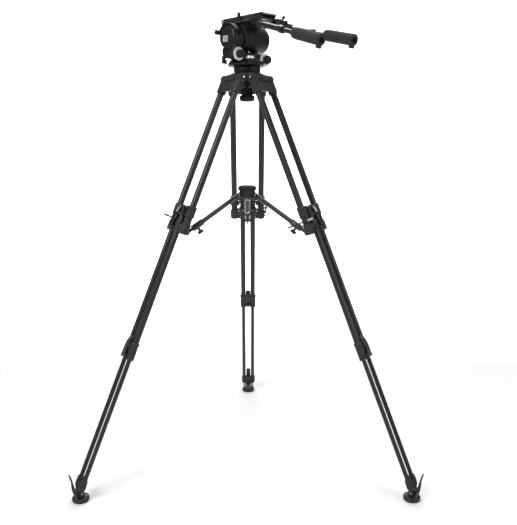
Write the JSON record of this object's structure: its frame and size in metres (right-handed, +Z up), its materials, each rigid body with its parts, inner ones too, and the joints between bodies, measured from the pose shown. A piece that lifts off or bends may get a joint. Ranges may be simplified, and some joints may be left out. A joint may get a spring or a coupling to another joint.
{
  "type": "video tripod with fluid head",
  "caption": "Three-legged camera tripod with twin-tube telescopic legs, folding mid-level spreader, levelling bowl and a fluid pan and tilt head with pan handles.",
  "frame": {"origin": "on the floor, at the middle of the footprint's bounding box; the bowl's axis stands 175 mm from it towards -Y", "axes": "+Z up; the back leg points along +Y; the pan handles point 47 degrees to the -Y side of +X"},
  "size_m": [1.2794, 1.1167, 1.728],
  "materials": {
    "carbon": "satin carbon fibre weave",
    "pad_rubber": "matt moulded rubber",
    "grip_rubber": "matt foam rubber",
    "grey_plastic": "grained light grey plastic",
    "steel": "brushed",
    "arm_coating": "satin black coat",
    "black_anodised": "black anodised",
    "bar_finish": "gloss black",
    "orange_plastic": "gloss",
    "bright_ring": "turned aluminium",
    "black_plastic": "grained",
    "head_black": "fine textured black",
    "casting": "textured dark grey"
  },
  "bodies": {
    "frame": {"crown": "casting", "leg_pivot_bolts": "steel"},
    "back_leg": {"back_leg_yoke": "casting", "back_upper_tubes": "carbon", "back_mid_clamp": "casting"},
    "back_mid_latch": {"back_mid_lever": "casting"},
    "back_middle_stage": {"back_middle_tubes": "carbon", "back_lower_clamp": "casting"},
    "back_lower_latch": {"back_lower_lever": "grey_plastic"},
    "back_lower_stage": {"back_lower_tubes": "carbon", "back_foot": "casting"},
    "back_foot_pad": {"back_pad": "pad_rubber"},
    "back_arm_rod": {"back_spreader_rod": "steel"},
    "back_arm_tube": {"back_spreader_arm": "arm_coating"},
    "left_leg": {"left_leg_yoke": "casting", "left_upper_tubes": "carbon", "left_mid_clamp": "casting"},
    "left_mid_latch": {"left_mid_lever": "casting"},
    "left_middle_stage": {"left_middle_tubes": "carbon", "left_lower_clamp": "casting"},
    "left_lower_latch": {"left_lower_lever": "grey_plastic"},
    "left_lower_stage": {"left_lower_tubes": "carbon", "left_foot": "casting"},
    "left_foot_pad": {"left_pad": "pad_rubber"},
    "left_arm_rod": {"left_spreader_rod": "steel"},
    "left_arm_tube": {"left_spreader_arm": "arm_coating"},
    "right_leg": {"right_leg_yoke": "casting", "right_upper_tubes": "carbon", "right_mid_clamp": "casting"},
    "right_mid_latch": {"right_mid_lever": "casting"},
    "right_middle_stage": {"right_middle_tubes": "carbon", "right_lower_clamp": "casting"},
    "right_lower_latch": {"right_lower_lever": "grey_plastic"},
    "right_lower_stage": {"right_lower_tubes": "carbon", "right_foot": "casting"},
    "right_foot_pad": {"right_pad": "pad_rubber"},
    "right_arm_rod": {"right_spreader_rod": "steel"},
    "right_arm_tube": {"right_spreader_arm": "arm_coating"},
    "hub": {"spreader_hub": "casting"},
    "hook": {"weight_hook": "steel"},
    "washer": {"clamp_washer": "steel"},
    "ball": {"half_ball": "black_anodised"},
    "tie_down": {"tie_down_knob": "black_plastic"},
    "pan": {"pan_housing": "head_black", "bubble_level": "bright_ring", "drum_end_cap": "head_black"},
    "pan_drag": {"pan_drag_knob": "bright_ring"},
    "tilt_drag": {"tilt_drag_knob": "bright_ring"},
    "pan_lock": {"pan_lock_lever": "black_plastic"},
    "tilt_lock": {"tilt_lock_lever": "black_plastic"},
    "tilt": {"tilt_drum": "head_black", "platform": "head_black"},
    "plate": {"camera_plate": "black_anodised", "camera_screws": "steel"},
    "plate_lever": {"plate_lock_lever": "black_plastic"},
    "button": {"release_button": "orange_plastic"},
    "left_bar": {"left_handle_bar": "bar_finish"},
    "left_grip": {"left_handle_grip": "grip_rubber"},
    "right_bar": {"right_handle_bar": "bar_finish"},
    "right_grip": {"right_handle_grip": "grip_rubber"}
  },
  "joints": [
    {"name": "back_leg_fold", "type": "hinge", "parent": "frame", "child": "back_leg", "pos_m": [0, -0.1168, 1.5], "axis": [-1, 0, 0], "range_deg": [0, 16]},
    {"name": "back_mid_latch_turn", "type": "hinge", "parent": "back_leg", "child": "back_mid_latch", "pos_m": [0, 0.14452, 0.96906], "axis": [-1, 0, 0], "range_deg": [0, 80]},
    {"name": "back_middle_slide", "type": "slide", "parent": "back_leg", "child": "back_middle_stage", "axis": [0, -0.3955, 0.9184], "range_m": [0, 0.38]},
    {"name": "back_lower_latch_turn", "type": "hinge", "parent": "back_middle_stage", "child": "back_lower_latch", "pos_m": [0, 0.33834, 0.51903], "axis": [-1, 0, 0], "range_deg": [0, 80]},
    {"name": "back_lower_slide", "type": "slide", "parent": "back_middle_stage", "child": "back_lower_stage", "axis": [0, -0.3955, 0.9184], "range_m": [0, 0.43]},
    {"name": "back_pad_tilt", "type": "hinge", "parent": "back_lower_stage", "child": "back_foot_pad", "pos_m": [0, 0.51607, 0.03049], "axis": [-1, 0, 0], "range_deg": [-25, 25]},
    {"name": "back_arm_turn", "type": "hinge", "parent": "back_leg", "child": "back_arm_rod", "pos_m": [0, 0.07983, 0.94229], "axis": [-1, 0, 0], "range_deg": [0, 27.73]},
    {"name": "back_arm_slide", "type": "slide", "parent": "back_arm_rod", "child": "back_arm_tube", "axis": [0, -0.8578, 0.514], "range_m": [-0.0145, 0]},
    {"name": "left_leg_fold", "type": "hinge", "parent": "frame", "child": "left_leg", "pos_m": [-0.0504, -0.2041, 1.5], "axis": [0.5, -0.866, 0], "range_deg": [0, 16]},
    {"name": "left_mid_latch_turn", "type": "hinge", "parent": "left_leg", "child": "left_mid_latch", "pos_m": [-0.27671, -0.33476, 0.96906], "axis": [0.5, -0.866, 0], "range_deg": [0, 80]},
    {"name": "left_middle_slide", "type": "slide", "parent": "left_leg", "child": "left_middle_stage", "axis": [0.3426, 0.1978, 0.9184], "range_m": [0, 0.38]},
    {"name": "left_lower_latch_turn", "type": "hinge", "parent": "left_middle_stage", "child": "left_lower_latch", "pos_m": [-0.44456, -0.43167, 0.51903], "axis": [0.5, -0.866, 0], "range_deg": [0, 80]},
    {"name": "left_lower_slide", "type": "slide", "parent": "left_middle_stage", "child": "left_lower_stage", "axis": [0.3426, 0.1978, 0.9184], "range_m": [0, 0.43]},
    {"name": "left_pad_tilt", "type": "hinge", "parent": "left_lower_stage", "child": "left_foot_pad", "pos_m": [-0.59849, -0.52054, 0.03049], "axis": [0.5, -0.866, 0], "range_deg": [-25, 25]},
    {"name": "left_arm_turn", "type": "hinge", "parent": "left_leg", "child": "left_arm_rod", "pos_m": [-0.22069, -0.30242, 0.94229], "axis": [0.5, -0.866, 0], "range_deg": [0, 27.73]},
    {"name": "left_arm_slide", "type": "slide", "parent": "left_arm_rod", "child": "left_arm_tube", "axis": [0.7429, 0.4289, 0.514], "range_m": [-0.0145, 0]},
    {"name": "right_leg_fold", "type": "hinge", "parent": "frame", "child": "right_leg", "pos_m": [0.0504, -0.2041, 1.5], "axis": [0.5, 0.866, 0], "range_deg": [0, 16]},
    {"name": "right_mid_latch_turn", "type": "hinge", "parent": "right_leg", "child": "right_mid_latch", "pos_m": [0.27671, -0.33476, 0.96906], "axis": [0.5, 0.866, 0], "range_deg": [0, 80]},
    {"name": "right_middle_slide", "type": "slide", "parent": "right_leg", "child": "right_middle_stage", "axis": [-0.3426, 0.1978, 0.9184], "range_m": [0, 0.38]},
    {"name": "right_lower_latch_turn", "type": "hinge", "parent": "right_middle_stage", "child": "right_lower_latch", "pos_m": [0.44456, -0.43167, 0.51903], "axis": [0.5, 0.866, 0], "range_deg": [0, 80]},
    {"name": "right_lower_slide", "type": "slide", "parent": "right_middle_stage", "child": "right_lower_stage", "axis": [-0.3426, 0.1978, 0.9184], "range_m": [0, 0.43]},
    {"name": "right_pad_tilt", "type": "hinge", "parent": "right_lower_stage", "child": "right_foot_pad", "pos_m": [0.59849, -0.52054, 0.03049], "axis": [0.5, 0.866, 0], "range_deg": [-25, 25]},
    {"name": "right_arm_turn", "type": "hinge", "parent": "right_leg", "child": "right_arm_rod", "pos_m": [0.22069, -0.30242, 0.94229], "axis": [0.5, 0.866, 0], "range_deg": [0, 27.73]},
    {"name": "right_arm_slide", "type": "slide", "parent": "right_arm_rod", "child": "right_arm_tube", "axis": [-0.7429, 0.4289, 0.514], "range_m": [-0.0145, 0]},
    {"name": "hub_slide", "type": "slide", "parent": "frame", "child": "hub", "axis": [0, 0, 1], "range_m": [0, 0.07476]},
    {"name": "hook_swing", "type": "hinge", "parent": "hub", "child": "hook", "pos_m": [0, -0.175, 1.0605], "axis": [0, 1, 0], "range_deg": [-25, 25]},
    {"name": "bowl_turn", "type": "hinge", "parent": "frame", "child": "washer", "pos_m": [0, -0.175, 1.536], "axis": [0, 0, 1], "range_deg": [-180, 180]},
    {"name": "bowl_tilt", "type": "hinge", "parent": "washer", "child": "ball", "pos_m": [0, -0.175, 1.536], "axis": [1, 0, 0], "range_deg": [-7, 7]},
    {"name": "tie_down_turn", "type": "hinge", "parent": "ball", "child": "tie_down", "pos_m": [0, -0.175, 1.44], "axis": [0, 0, 1], "range_deg": [0, 300]},
    {"name": "pan", "type": "hinge", "parent": "ball", "child": "pan", "pos_m": [0, -0.175, 1.55], "axis": [0, 0, 1], "continuous": true},
    {"name": "pan_drag_turn", "type": "hinge", "parent": "pan", "child": "pan_drag", "pos_m": [0.06276, -0.20125, 1.565], "axis": [0.682, -0.7314, 0], "range_deg": [0, 270]},
    {"name": "tilt_drag_turn", "type": "hinge", "parent": "pan", "child": "tilt_drag", "pos_m": [-0.0323, -0.24887, 1.581], "axis": [0.682, -0.7314, 0], "range_deg": [0, 270]},
    {"name": "pan_lock_turn", "type": "hinge", "parent": "pan", "child": "pan_lock", "pos_m": [-0.0743, -0.17524, 1.56], "axis": [-0.9996, -0.0288, 0], "range_deg": [0, 60]},
    {"name": "tilt_lock_turn", "type": "hinge", "parent": "pan", "child": "tilt_lock", "pos_m": [-0.0629, -0.23365, 1.64], "axis": [0.7314, 0.682, 0], "range_deg": [-35, 0]},
    {"name": "tilt", "type": "hinge", "parent": "pan", "child": "tilt", "pos_m": [0, -0.175, 1.64], "axis": [0.7314, 0.682, 0], "range_deg": [-65, 42]},
    {"name": "plate_slide", "type": "slide", "parent": "tilt", "child": "plate", "axis": [0.682, -0.7314, 0], "range_m": [-0.025, 0.025]},
    {"name": "plate_lever_turn", "type": "hinge", "parent": "tilt", "child": "plate_lever", "pos_m": [-0.02709, -0.2112, 1.704], "axis": [0.7314, 0.682, 0], "range_deg": [0, 85]},
    {"name": "release_press", "type": "slide", "parent": "tilt", "child": "button", "axis": [0.7314, 0.682, 0], "range_m": [0, 0.003], "stiffness_N_per_m": 800, "springref_m": -0.001},
    {"name": "left_handle_turn", "type": "hinge", "parent": "tilt", "child": "left_bar", "pos_m": [0.0513, -0.32679, 1.67], "axis": [0.7314, 0.682, 0], "range_deg": [-75, 15]},
    {"name": "left_handle_slide", "type": "slide", "parent": "left_bar", "child": "left_grip", "axis": [0.636, -0.7189, -0.2807], "range_m": [0, 0.045]},
    {"name": "right_handle_turn", "type": "hinge", "parent": "tilt", "child": "right_bar", "pos_m": [0.14784, -0.23677, 1.67], "axis": [0.7314, 0.682, 0], "range_deg": [-75, 15]},
    {"name": "right_handle_slide", "type": "slide", "parent": "right_bar", "child": "right_grip", "axis": [0.6821, -0.6941, -0.2301], "range_m": [0, 0.045]}
  ],
  "couplings": [
    {"joint": "back_arm_turn", "follows": "back_leg_fold", "ratio": 1.7141},
    {"joint": "back_arm_slide", "follows": "back_leg_fold", "m_per_rad": -0.05},
    {"joint": "left_leg_fold", "follows": "back_leg_fold", "ratio": 1},
    {"joint": "left_arm_turn", "follows": "back_leg_fold", "ratio": 1.7141},
    {"joint": "left_arm_slide", "follows": "back_leg_fold", "m_per_rad": -0.05},
    {"joint": "right_leg_fold", "follows": "back_leg_fold", "ratio": 1},
    {"joint": "right_arm_turn", "follows": "back_leg_fold", "ratio": 1.7141},
    {"joint": "right_arm_slide", "follows": "back_leg_fold", "m_per_rad": -0.05},
    {"joint": "hub_slide", "follows": "back_leg_fold", "m_per_rad": 0.26591}
  ]
}
